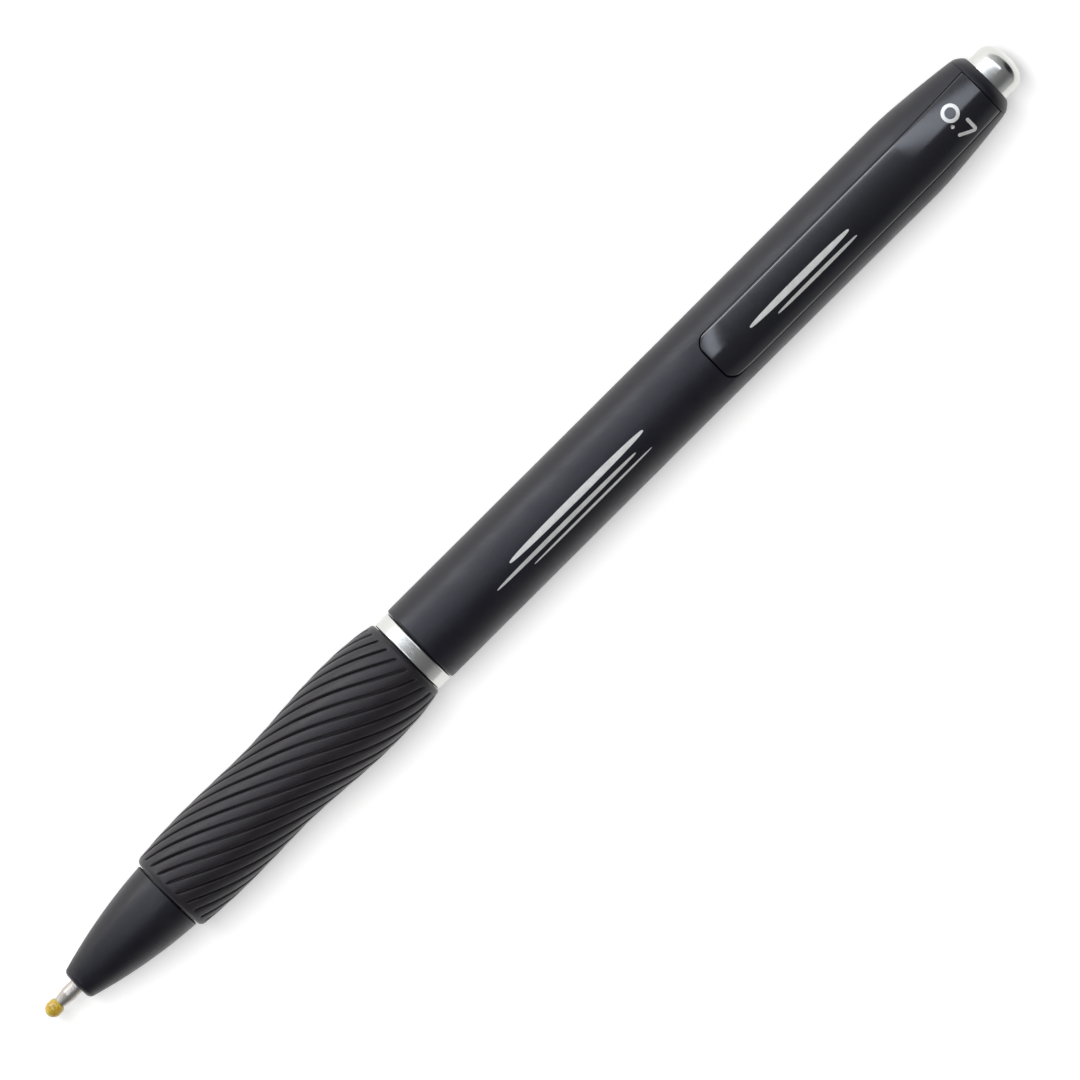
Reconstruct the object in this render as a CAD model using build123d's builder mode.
from build123d import *
import os
from math import cos, radians, sin

# A retractable gel pen, lying on its side, in millimetres. +X runs along the pen to the push button,
# +Z is up and the clip is on top. The origin is under the middle of the pen, on the surface that it
# lies on. The point is out, as it is after the button has been pressed.

os.makedirs("parts", exist_ok=True)

# Whole pen
AXIS_Z = 5.69                 # height of the pen's axis: the grip's largest radius
TIP_X = -72.5                 # front of the sealing bead
BUTTON_END_X = 72.5
RUNNING_GAP = 0.06            # radial gap of a sliding fit
SEAT_GAP = 0.02               # gap between two pieces that are fixed to each other

# Front section: nose, core under the grip, threaded spigot
NOSE_X = -68.0
NOSE_FACE_R = 1.55
NOSE_EDGE_X = -67.5
NOSE_EDGE_R = 2.05
NOSE_MID_X = -61.0
NOSE_MID_R = 3.555
NOSE_REAR_X = -54.47
NOSE_REAR_R = 4.33
NOSE_HOLE_R = 1.1
NOSE_HOLE_END_X = -66.6
POINT_BORE_R = 1.35
SPRING_SEAT_X = -61.6
SPRING_BORE_R = 2.45
REFILL_BORE_X = -51.8
REFILL_BORE_R = 3.2
CORE_R = 4.1
SPIGOT_END_X = -9.0
SPIGOT_R = 3.8
RING_LAND_END_X = -16.6

# Grip sleeve
GRIP_FRONT_X = -54.15
GRIP_REAR_X = -18.46
GRIP_FRONT_R = 4.42
GRIP_REAR_R = 4.87
GRIP_SHAPE = [
    (-53.3, 4.95),
    (-47.0, 5.24),
    (-38.2, 5.07),
    (-31.0, 5.47),
    (-25.8, 5.69),
    (-21.5, 5.50),
    (-18.8, 5.05),
]

# Trim ring
RING_FRONT_X = -18.35
RING_REAR_X = -16.43
RING_R = 4.84
RING_BEVEL = 0.2

# Thread between the front section and the barrel
THREAD_PITCH = 1.6
THREAD_START_X = -15.4
THREAD_TURNS = 2.5
THREAD_CREST_R = 4.15
THREAD_ROOT_WIDTH = 0.8
THREAD_CREST_WIDTH = 0.35
THREAD_GAP = 0.12
GROOVE_RUN_OUT_TURNS = 1.5     # how much longer the barrel's groove is than the spigot's ridge

# Rear barrel
BARREL_FRONT_X = -16.37
BARREL_R = 4.93
BARREL_EDGE = 0.3
STRAIGHT_END_X = 24.0
SHOULDER_X = 56.8
SHOULDER_R = 5.03
TAPER_MID_X = 62.1
TAPER_MID_R = 4.69
SEAM_X = 67.7
SEAM_R = 4.07
FRONT_BORE_R = 3.95
FRONT_BORE_END_X = -8.6
BARREL_BORE_R = 3.4

# Clip and its pocket
CLIP_FRONT_X = 26.9
CLIP_REAR_X = 67.6
CLIP_HALF_WIDTH = 3.05
CLIP_CORNER_R = 1.5
CLIP_OUTER_R = 5.1
CLIP_INNER_R = 4.3
CLIP_ROOT_X = 56.0
CLIP_ROOT_INNER_R = 3.74
CLIP_BUMP_R = 4.12
CLIP_BUMP_FRONT = 2.5          # where the bump starts and ends, from the clip's front
CLIP_BUMP_REAR = 4.5
CLIP_BUMP_SLOPE = 2.0
POCKET_FLOOR_R = 4.05
POCKET_ROOT_FLOOR_R = 3.66
POCKET_GAP = 0.15

# End collar
COLLAR_END_X = 69.08
COLLAR_EDGE_R = 4.04
COLLAR_MID_X = 68.5
COLLAR_MID_R = 3.72
COLLAR_FACE_R = 3.25
COLLAR_BORE_R = 2.95
COLLAR_FRONT_X = 60.05

# Push button
BUTTON_R = 2.885
BUTTON_FRONT_X = 60.25
BUTTON_EDGE_R = 1.2
BUTTON_DOME = 0.15
BUTTON_WALL_X = 71.2
SHANK_R = 2.25

# Click mechanism
STROKE = 6.0                  # travel of the button and the refill
TURN_PER_STROKE = 60.0        # turn of the rotor over the stroke, in degrees
RIB_ANGLES = (90, 210, 330)
GROOVE_ANGLES = (30, 150, 270)
RIB_WIDTH = 30.0              # degrees
RIB_INNER_R = 2.35
GROOVE_R = 2.9
RAMP_MID_X = 47.5
RIB_MEAN_R = 2.6
FIN_WIDTH = 14.0              # degrees
FIN_R = 2.8
FIN_FRONT_X = 43.0
FIN_GAP = 0.25
KEY_FRONT_X = 49.5
KEY_LENGTH = 4.3
SLEEVE_FRONT_X = 45.0
SLEEVE_REAR_X = 60.0
ROTOR_FRONT_X = 38.73
CROWN_X = 48.5                # tips of the rotor's teeth
CROWN_GAP = 0.1
CROWN_DEPTH = 0.8
CROWN_HALF_PITCH = 0.9
CROWN_BORE_R = 1.3

# Refill
TUBE_R = 3.05
TUBE_BORE_R = 2.55
TUBE_FRONT_X = -50.0
TUBE_REAR_X = 37.65
TAIL_X = 38.65
TAIL_PLUG_X = 33.0
VENT_R = 0.5
HOLDER_FRONT_X = -61.0
HOLDER_R = 1.7
FLANGE_FRONT_X = -51.0
HOLDER_REAR_X = -44.0
HOLDER_CHANNEL_R = 0.6
INK_END_X = 18.0
FOLLOWER_END_X = 24.0

# Point, ball and sealing bead
POINT_R = 0.855
POINT_CONE_X = -69.5
SEAL_REAR_X = -70.68
POINT_AT_SEAL_R = 0.63
LIP_X = -71.7
LIP_R = 0.44
LIP_BORE_R = 0.335
POINT_STEP_X = -66.3
POINT_SHANK_R = 1.15
POINT_REAR_X = -56.0
INK_CHANNEL_R = 0.25
BALL_X = -71.55
BALL_R = 0.35
CUP_R = 0.375
CUP_END_X = -71.17
SEAL_R = 0.94
SEAL_MID_X = -71.45
SEAL_GAP = 0.03
SEAL_REAR_SLOPE = (0.45, -1)   # direction of the bead's outline where it meets the point

# Return spring, pressed between the nose and the refill's flange
SPRING_WIRE_R = 0.175
SPRING_MEAN_R = 2.0
SPRING_TURNS = 12
SPRING_END_GAP = 0.06

PEN_AXIS = Axis((0, 0, AXIS_Z), (1, 0, 0))
SIDE = Plane(origin=(0, 0, AXIS_Z), x_dir=(1, 0, 0), z_dir=(0, -1, 0))


def across(x):
    """The plane across the pen at x, with its angles counted from +Y towards +Z."""
    return Plane(origin=(x, 0, AXIS_Z), x_dir=(0, 1, 0), z_dir=(1, 0, 0))


def sector(inner_r, outer_r, middle, width):
    """Draw a piece of a ring in the open sketch, with its middle and width in degrees."""
    reach = 2 * outer_r
    low = radians(middle - width / 2)
    high = radians(middle + width / 2)
    Circle(outer_r)
    Circle(inner_r, mode=Mode.SUBTRACT)
    Polygon(
        (0, 0),
        (reach * cos(low), reach * sin(low)),
        (reach * cos(high), reach * sin(high)),
        align=None,
        mode=Mode.INTERSECT,
    )


def clip_plan(front_x, rear_x, half_width, corner_r):
    """Draw the clip's outline from above in the open sketch: round at the front, square at the root."""
    with Locations(((front_x + rear_x) / 2, 0)):
        Rectangle(rear_x - front_x, 2 * half_width)
    fillet(vertices().group_by(Axis.X)[0], corner_r)


def thread_ridge(root_r, crest_r, root_width, crest_width, start_x, turns):
    """A helical ridge about the pen's axis, or the tool that cuts a groove of that shape."""
    with BuildPart() as ridge:
        with BuildLine() as helix:
            Helix(THREAD_PITCH, turns * THREAD_PITCH, root_r, (start_x, 0, AXIS_Z), (1, 0, 0))
        start = helix.line @ 0
        outward = (start - Vector(start.X, 0, AXIS_Z)).normalized()
        height = crest_r - root_r
        with BuildSketch(Plane(origin=start, x_dir=outward, z_dir=helix.line % 0)):
            Polygon(
                (0, -root_width / 2),
                (height, -crest_width / 2),
                (height, crest_width / 2),
                (0, root_width / 2),
                align=None,
            )
        sweep(path=helix.line, is_frenet=True)
    return ridge.part


def ramp_plane(angle, shift):
    """The plane that cuts the front end of a rib, or the rear end of a fin, parallel to the rotor's path."""
    around = radians(angle)
    radial = Vector(0, cos(around), sin(around))
    tangent = Vector(0, -sin(around), cos(around))
    turn_per_mm = radians(TURN_PER_STROKE / STROKE) * RIB_MEAN_R
    path = Vector(1, 0, 0) + tangent * turn_per_mm
    origin = Vector(RAMP_MID_X + shift, 0, AXIS_Z) + radial * RIB_MEAN_R
    return Plane(origin=origin, x_dir=radial, z_dir=path.cross(radial))


def ramped_sector(angle, inner_r, outer_r, width, front_x, rear_x, shift, keep):
    """A rib or a fin along the pen, with one end cut on the ramp."""
    with BuildPart() as bar:
        with BuildSketch(across(front_x)):
            sector(inner_r, outer_r, angle, width)
        extrude(amount=rear_x - front_x)
        split(bisect_by=ramp_plane(angle, shift), keep=keep)
    return bar.part


def cut_crown(end_x, direction):
    """Cut six V notches into the end of the open part, so that it ends in a ring of pointed teeth."""
    for angle in (0, 60, 120):
        normal = (0, cos(radians(angle)), sin(radians(angle)))
        with BuildSketch(Plane(origin=(end_x, 0, AXIS_Z), x_dir=(1, 0, 0), z_dir=normal)) as notch:
            Polygon(
                (0, -CROWN_HALF_PITCH),
                (0, CROWN_HALF_PITCH),
                (-direction * CROWN_DEPTH, 0),
                align=None,
            )
        extrude(notch.sketch, amount=2 * TUBE_R, both=True, mode=Mode.SUBTRACT)


# ---- Front section: nose cone, core tube and threaded spigot in one moulding ----

spigot_thread = thread_ridge(
    SPIGOT_R - SEAT_GAP,
    THREAD_CREST_R,
    THREAD_ROOT_WIDTH,
    THREAD_CREST_WIDTH,
    THREAD_START_X,
    THREAD_TURNS,
)

with BuildPart() as front_section:
    with BuildSketch(SIDE):
        with BuildLine():
            Polyline((NOSE_X, NOSE_HOLE_R), (NOSE_X, NOSE_FACE_R))
            TangentArc((NOSE_X, NOSE_FACE_R), (NOSE_EDGE_X, NOSE_EDGE_R), tangent=(0, 1))
            ThreePointArc(
                (NOSE_EDGE_X, NOSE_EDGE_R),
                (NOSE_MID_X, NOSE_MID_R),
                (NOSE_REAR_X, NOSE_REAR_R),
            )
            Polyline(
                (NOSE_REAR_X, NOSE_REAR_R),
                (NOSE_REAR_X, CORE_R),
                (GRIP_REAR_X, CORE_R),
                (GRIP_REAR_X, THREAD_CREST_R),
                (RING_LAND_END_X, THREAD_CREST_R),
                (RING_LAND_END_X, SPIGOT_R),
                (SPIGOT_END_X, SPIGOT_R),
                (SPIGOT_END_X, REFILL_BORE_R),
                (REFILL_BORE_X, REFILL_BORE_R),
                (REFILL_BORE_X, SPRING_BORE_R),
                (SPRING_SEAT_X, SPRING_BORE_R),
                (SPRING_SEAT_X, POINT_BORE_R),
                (NOSE_HOLE_END_X, POINT_BORE_R),
                (NOSE_HOLE_END_X, NOSE_HOLE_R),
                (NOSE_X, NOSE_HOLE_R),
            )
        make_face()
    revolve(axis=PEN_AXIS)
    add(spigot_thread)
front_section.part.label = "front_section"
export_step(front_section.part, "parts/front_section.step")

# ---- Grip sleeve: soft rubber, stretched over the core ----

with BuildPart() as grip_sleeve:
    with BuildSketch(SIDE):
        with BuildLine():
            Polyline((GRIP_FRONT_X, CORE_R + SEAT_GAP), (GRIP_FRONT_X, GRIP_FRONT_R))
            TangentArc((GRIP_FRONT_X, GRIP_FRONT_R), GRIP_SHAPE[0], tangent=(0, 1))
            Spline(GRIP_SHAPE)
            Polyline(
                GRIP_SHAPE[-1],
                (GRIP_REAR_X, GRIP_REAR_R),
                (GRIP_REAR_X, CORE_R + SEAT_GAP),
                (GRIP_FRONT_X, CORE_R + SEAT_GAP),
            )
        make_face()
    revolve(axis=PEN_AXIS)
grip_sleeve.part.label = "grip_sleeve"
export_step(grip_sleeve.part, "parts/grip_sleeve.step")

# ---- Trim ring: a loose chromed ring, clamped between the grip and the barrel ----

with BuildPart() as trim_ring:
    with BuildSketch(across(RING_FRONT_X)):
        Circle(RING_R)
        Circle(THREAD_CREST_R + RUNNING_GAP, mode=Mode.SUBTRACT)
    extrude(amount=RING_REAR_X - RING_FRONT_X)
    rims = trim_ring.edges().filter_by(GeomType.CIRCLE).group_by(SortBy.RADIUS)[-1]
    chamfer(rims, RING_BEVEL)
trim_ring.part.label = "trim_ring"
export_step(trim_ring.part, "parts/trim_ring.step")

# ---- Rear barrel: a moulded tube with a pocket for the clip and a thread in its mouth ----

barrel_thread = thread_ridge(
    FRONT_BORE_R - SEAT_GAP,
    THREAD_CREST_R + THREAD_GAP,
    THREAD_ROOT_WIDTH + THREAD_GAP,
    THREAD_CREST_WIDTH + 2 * THREAD_GAP,
    THREAD_START_X - THREAD_PITCH,
    THREAD_TURNS + GROOVE_RUN_OUT_TURNS,
)

with BuildPart() as clip_pocket:
    with BuildSketch(SIDE):
        Polygon(
            (CLIP_FRONT_X - POCKET_GAP, POCKET_FLOOR_R),
            (CLIP_ROOT_X, POCKET_FLOOR_R),
            (SEAM_X, POCKET_ROOT_FLOOR_R),
            (SEAM_X, AXIS_Z),
            (CLIP_FRONT_X - POCKET_GAP, AXIS_Z),
            align=None,
        )
    revolve(axis=PEN_AXIS)
    with BuildSketch(Plane.XY.offset(AXIS_Z)):
        clip_plan(
            CLIP_FRONT_X - POCKET_GAP,
            SEAM_X,
            CLIP_HALF_WIDTH + POCKET_GAP,
            CLIP_CORNER_R + POCKET_GAP,
        )
    extrude(amount=AXIS_Z, mode=Mode.INTERSECT)

with BuildPart() as rear_barrel:
    with BuildSketch(SIDE):
        with BuildLine():
            Polyline(
                (BARREL_FRONT_X, FRONT_BORE_R),
                (BARREL_FRONT_X, BARREL_R - BARREL_EDGE),
                (BARREL_FRONT_X + BARREL_EDGE, BARREL_R),
                (STRAIGHT_END_X, BARREL_R),
                (SHOULDER_X, SHOULDER_R),
            )
            ThreePointArc((SHOULDER_X, SHOULDER_R), (TAPER_MID_X, TAPER_MID_R), (SEAM_X, SEAM_R))
            Polyline(
                (SEAM_X, SEAM_R),
                (SEAM_X, BARREL_BORE_R),
                (FRONT_BORE_END_X, BARREL_BORE_R),
                (FRONT_BORE_END_X, FRONT_BORE_R),
                (BARREL_FRONT_X, FRONT_BORE_R),
            )
        make_face()
    revolve(axis=PEN_AXIS)
    add(barrel_thread, mode=Mode.SUBTRACT)
    add(clip_pocket.part, mode=Mode.SUBTRACT)
rear_barrel.part.label = "rear_barrel"
export_step(rear_barrel.part, "parts/rear_barrel.step")

# ---- Clip: lies flush in the pocket, springs about its root, bump under the free end ----

with BuildPart() as clip:
    with BuildSketch(SIDE):
        with BuildLine():
            Polyline((CLIP_FRONT_X, CLIP_OUTER_R), (SHOULDER_X, CLIP_OUTER_R))
            ThreePointArc(
                (SHOULDER_X, CLIP_OUTER_R),
                (TAPER_MID_X, TAPER_MID_R + CLIP_OUTER_R - SHOULDER_R),
                (CLIP_REAR_X, SEAM_R + SEAT_GAP),
            )
            Polyline(
                (CLIP_REAR_X, SEAM_R + SEAT_GAP),
                (CLIP_REAR_X, CLIP_ROOT_INNER_R),
                (CLIP_ROOT_X, CLIP_INNER_R),
                (CLIP_FRONT_X + CLIP_BUMP_REAR + CLIP_BUMP_SLOPE, CLIP_INNER_R),
                (CLIP_FRONT_X + CLIP_BUMP_REAR, CLIP_BUMP_R),
                (CLIP_FRONT_X + CLIP_BUMP_FRONT, CLIP_BUMP_R),
                (CLIP_FRONT_X, CLIP_INNER_R),
                (CLIP_FRONT_X, CLIP_OUTER_R),
            )
        make_face()
    revolve(axis=PEN_AXIS)
    with BuildSketch(Plane.XY.offset(AXIS_Z)):
        clip_plan(CLIP_FRONT_X, CLIP_REAR_X, CLIP_HALF_WIDTH, CLIP_CORNER_R)
    extrude(amount=AXIS_Z, mode=Mode.INTERSECT)
clip.part.label = "clip"
export_step(clip.part, "parts/clip.step")

# ---- End collar: plugs into the barrel and guides the button ----

with BuildPart() as end_collar:
    with BuildSketch(SIDE):
        with BuildLine():
            Polyline(
                (COLLAR_FRONT_X, COLLAR_BORE_R),
                (COLLAR_FRONT_X, BARREL_BORE_R - SEAT_GAP),
                (SEAM_X + SEAT_GAP, BARREL_BORE_R - SEAT_GAP),
                (SEAM_X + SEAT_GAP, COLLAR_EDGE_R),
            )
            ThreePointArc(
                (SEAM_X + SEAT_GAP, COLLAR_EDGE_R),
                (COLLAR_MID_X, COLLAR_MID_R),
                (COLLAR_END_X, COLLAR_FACE_R),
            )
            Polyline(
                (COLLAR_END_X, COLLAR_FACE_R),
                (COLLAR_END_X, COLLAR_BORE_R),
                (COLLAR_FRONT_X, COLLAR_BORE_R),
            )
        make_face()
    revolve(axis=PEN_AXIS)
end_collar.part.label = "end_collar"
export_step(end_collar.part, "parts/end_collar.step")

# ---- Push button: a chromed cap on the plunger ----

with BuildPart() as push_button:
    with BuildSketch(SIDE):
        with BuildLine():
            Polyline(
                (BUTTON_FRONT_X, SHANK_R + SEAT_GAP),
                (BUTTON_FRONT_X, BUTTON_R),
                (BUTTON_END_X - BUTTON_EDGE_R, BUTTON_R),
            )
            TangentArc(
                (BUTTON_END_X - BUTTON_EDGE_R, BUTTON_R),
                (BUTTON_END_X - BUTTON_DOME, BUTTON_R - BUTTON_EDGE_R),
                tangent=(1, 0),
            )
            TangentArc(
                (BUTTON_END_X, 0),
                (BUTTON_END_X - BUTTON_DOME, BUTTON_R - BUTTON_EDGE_R),
                tangent=(0, 1),
            )
            Polyline(
                (BUTTON_END_X, 0),
                (BUTTON_WALL_X, 0),
                (BUTTON_WALL_X, SHANK_R + SEAT_GAP),
                (BUTTON_FRONT_X, SHANK_R + SEAT_GAP),
            )
        make_face()
    revolve(axis=PEN_AXIS)
push_button.part.label = "push_button"
export_step(push_button.part, "parts/push_button.step")

# ---- Cam sleeve: fixed in the barrel, three ribs with ramped front ends ----

sleeve_ribs = [
    ramped_sector(
        angle,
        RIB_INNER_R,
        GROOVE_R + SEAT_GAP,
        RIB_WIDTH,
        SLEEVE_FRONT_X,
        SLEEVE_REAR_X,
        0,
        Keep.BOTTOM,
    )
    for angle in RIB_ANGLES
]

with BuildPart() as cam_sleeve:
    with BuildSketch(across(SLEEVE_FRONT_X)):
        Circle(BARREL_BORE_R - SEAT_GAP)
        Circle(GROOVE_R, mode=Mode.SUBTRACT)
    extrude(amount=SLEEVE_REAR_X - SLEEVE_FRONT_X)
    for rib in sleeve_ribs:
        add(rib)
cam_sleeve.part.label = "cam_sleeve"
export_step(cam_sleeve.part, "parts/cam_sleeve.step")

# ---- Rotor: turns behind the refill, three fins with ramped rear ends ----

rotor_fins = [
    ramped_sector(
        angle,
        SHANK_R - SEAT_GAP,
        FIN_R,
        FIN_WIDTH,
        FIN_FRONT_X,
        CROWN_X,
        -FIN_GAP,
        Keep.TOP,
    )
    for angle in RIB_ANGLES
]

with BuildPart() as rotor_cam:
    with BuildSketch(across(ROTOR_FRONT_X)):
        Circle(SHANK_R)
    extrude(amount=CROWN_X - ROTOR_FRONT_X)
    with BuildSketch(across(CROWN_X)):
        Circle(CROWN_BORE_R)
    extrude(amount=FIN_FRONT_X - CROWN_X, mode=Mode.SUBTRACT)
    cut_crown(CROWN_X, 1)
    for fin in rotor_fins:
        add(fin)
rotor_cam.part.label = "rotor_cam"
export_step(rotor_cam.part, "parts/rotor_cam.step")

# ---- Plunger: pushed by the button, three keys run in the sleeve's grooves ----

with BuildPart() as plunger_cam:
    with BuildSketch(across(CROWN_X + CROWN_GAP)):
        Circle(SHANK_R)
    extrude(amount=BUTTON_WALL_X - SEAT_GAP - CROWN_X - CROWN_GAP)
    with BuildSketch(across(CROWN_X + CROWN_GAP)):
        Circle(CROWN_BORE_R)
    extrude(amount=KEY_FRONT_X + KEY_LENGTH - CROWN_X, mode=Mode.SUBTRACT)
    cut_crown(CROWN_X + CROWN_GAP, -1)
    for groove_angle in GROOVE_ANGLES:
        with BuildSketch(across(KEY_FRONT_X)):
            sector(SHANK_R - SEAT_GAP, FIN_R, groove_angle, FIN_WIDTH)
        extrude(amount=KEY_LENGTH)
plunger_cam.part.label = "plunger_cam"
export_step(plunger_cam.part, "parts/plunger_cam.step")

# ---- Refill tube with its tail plug, ink and follower ----

with BuildPart() as ink_tube:
    with BuildSketch(across(TUBE_FRONT_X)):
        Circle(TUBE_R)
        Circle(TUBE_BORE_R, mode=Mode.SUBTRACT)
    extrude(amount=TUBE_REAR_X - TUBE_FRONT_X)
ink_tube.part.label = "ink_tube"
export_step(ink_tube.part, "parts/ink_tube.step")

with BuildPart() as tail_plug:
    with BuildSketch(across(TAIL_PLUG_X)):
        Circle(TUBE_BORE_R - SEAT_GAP)
    extrude(amount=TUBE_REAR_X + SEAT_GAP - TAIL_PLUG_X)
    with BuildSketch(across(TUBE_REAR_X + SEAT_GAP)):
        Circle(TUBE_R)
    extrude(amount=TAIL_X - TUBE_REAR_X - SEAT_GAP)
    with BuildSketch(across(TAIL_PLUG_X)):
        Circle(VENT_R)
    extrude(amount=TAIL_X - TAIL_PLUG_X, mode=Mode.SUBTRACT)
tail_plug.part.label = "tail_plug"
export_step(tail_plug.part, "parts/tail_plug.step")

with BuildPart() as ink_column:
    with BuildSketch(across(HOLDER_REAR_X + SEAT_GAP)):
        Circle(TUBE_BORE_R - SEAT_GAP)
    extrude(amount=INK_END_X - HOLDER_REAR_X - SEAT_GAP)
ink_column.part.label = "ink_column"
export_step(ink_column.part, "parts/ink_column.step")

with BuildPart() as follower_gel:
    with BuildSketch(across(INK_END_X + SEAT_GAP)):
        Circle(TUBE_BORE_R - SEAT_GAP)
    extrude(amount=FOLLOWER_END_X - INK_END_X)
follower_gel.part.label = "follower_gel"
export_step(follower_gel.part, "parts/follower_gel.step")

# ---- Tip holder: plugs into the tube, carries the point and takes the spring ----

with BuildPart() as tip_holder:
    with BuildSketch(SIDE):
        Polygon(
            (HOLDER_FRONT_X, POINT_SHANK_R + SEAT_GAP),
            (HOLDER_FRONT_X, HOLDER_R),
            (FLANGE_FRONT_X, HOLDER_R),
            (FLANGE_FRONT_X, TUBE_R),
            (TUBE_FRONT_X - SEAT_GAP, TUBE_R),
            (TUBE_FRONT_X - SEAT_GAP, TUBE_BORE_R - SEAT_GAP),
            (HOLDER_REAR_X, TUBE_BORE_R - SEAT_GAP),
            (HOLDER_REAR_X, HOLDER_CHANNEL_R),
            (POINT_REAR_X + SEAT_GAP, HOLDER_CHANNEL_R),
            (POINT_REAR_X + SEAT_GAP, POINT_SHANK_R + SEAT_GAP),
            align=None,
        )
    revolve(axis=PEN_AXIS)
tip_holder.part.label = "tip_holder"
export_step(tip_holder.part, "parts/tip_holder.step")

# ---- Point: turned steel, with the ball held in its lip ----

with BuildPart() as point_body:
    with BuildSketch(SIDE):
        Polygon(
            (LIP_X, LIP_BORE_R),
            (LIP_X, LIP_R),
            (SEAL_REAR_X, POINT_AT_SEAL_R),
            (POINT_CONE_X, POINT_R),
            (POINT_STEP_X, POINT_R),
            (POINT_STEP_X + POINT_SHANK_R - POINT_R, POINT_SHANK_R),
            (POINT_REAR_X, POINT_SHANK_R),
            (POINT_REAR_X, INK_CHANNEL_R),
            (CUP_END_X, INK_CHANNEL_R),
            (CUP_END_X, CUP_R),
            (BALL_X, CUP_R),
            align=None,
        )
    revolve(axis=PEN_AXIS)
point_body.part.label = "point_body"
export_step(point_body.part, "parts/point_body.step")

with BuildPart() as writing_ball:
    with Locations((BALL_X, 0, AXIS_Z)):
        Sphere(BALL_R)
writing_ball.part.label = "writing_ball"
export_step(writing_ball.part, "parts/writing_ball.step")

# ---- Sealing bead: a drop of soft resin over the ball, pulled off before first use ----

with BuildPart() as tip_seal:
    with BuildSketch(SIDE):
        with BuildLine():
            Spline(
                (TIP_X, 0),
                (SEAL_MID_X, SEAL_R),
                (SEAL_REAR_X, POINT_AT_SEAL_R + 2 * SEAL_GAP),
                tangents=[(0, 1), SEAL_REAR_SLOPE],
            )
            Polyline(
                (SEAL_REAR_X, POINT_AT_SEAL_R + 2 * SEAL_GAP),
                (SEAL_REAR_X, POINT_AT_SEAL_R + SEAL_GAP),
                (LIP_X - SEAL_GAP, LIP_R + SEAL_GAP),
                (BALL_X - BALL_R - SEAL_GAP, BALL_R / 2),
                (BALL_X - BALL_R - SEAL_GAP, 0),
                (TIP_X, 0),
            )
        make_face()
    revolve(axis=PEN_AXIS)
tip_seal.part.label = "tip_seal"
export_step(tip_seal.part, "parts/tip_seal.step")

# ---- Return spring ----

spring_start_x = SPRING_SEAT_X + SPRING_END_GAP + SPRING_WIRE_R
spring_height = FLANGE_FRONT_X - SPRING_END_GAP - SPRING_WIRE_R - spring_start_x

with BuildPart() as return_spring:
    with BuildLine() as coil:
        Helix(
            spring_height / SPRING_TURNS,
            spring_height,
            SPRING_MEAN_R,
            (spring_start_x, 0, AXIS_Z),
            (1, 0, 0),
        )
    with BuildSketch(Plane(origin=coil.line @ 0, z_dir=coil.line % 0)):
        Circle(SPRING_WIRE_R)
    sweep(path=coil.line, is_frenet=True)
return_spring.part.label = "return_spring"
export_step(return_spring.part, "parts/return_spring.step")
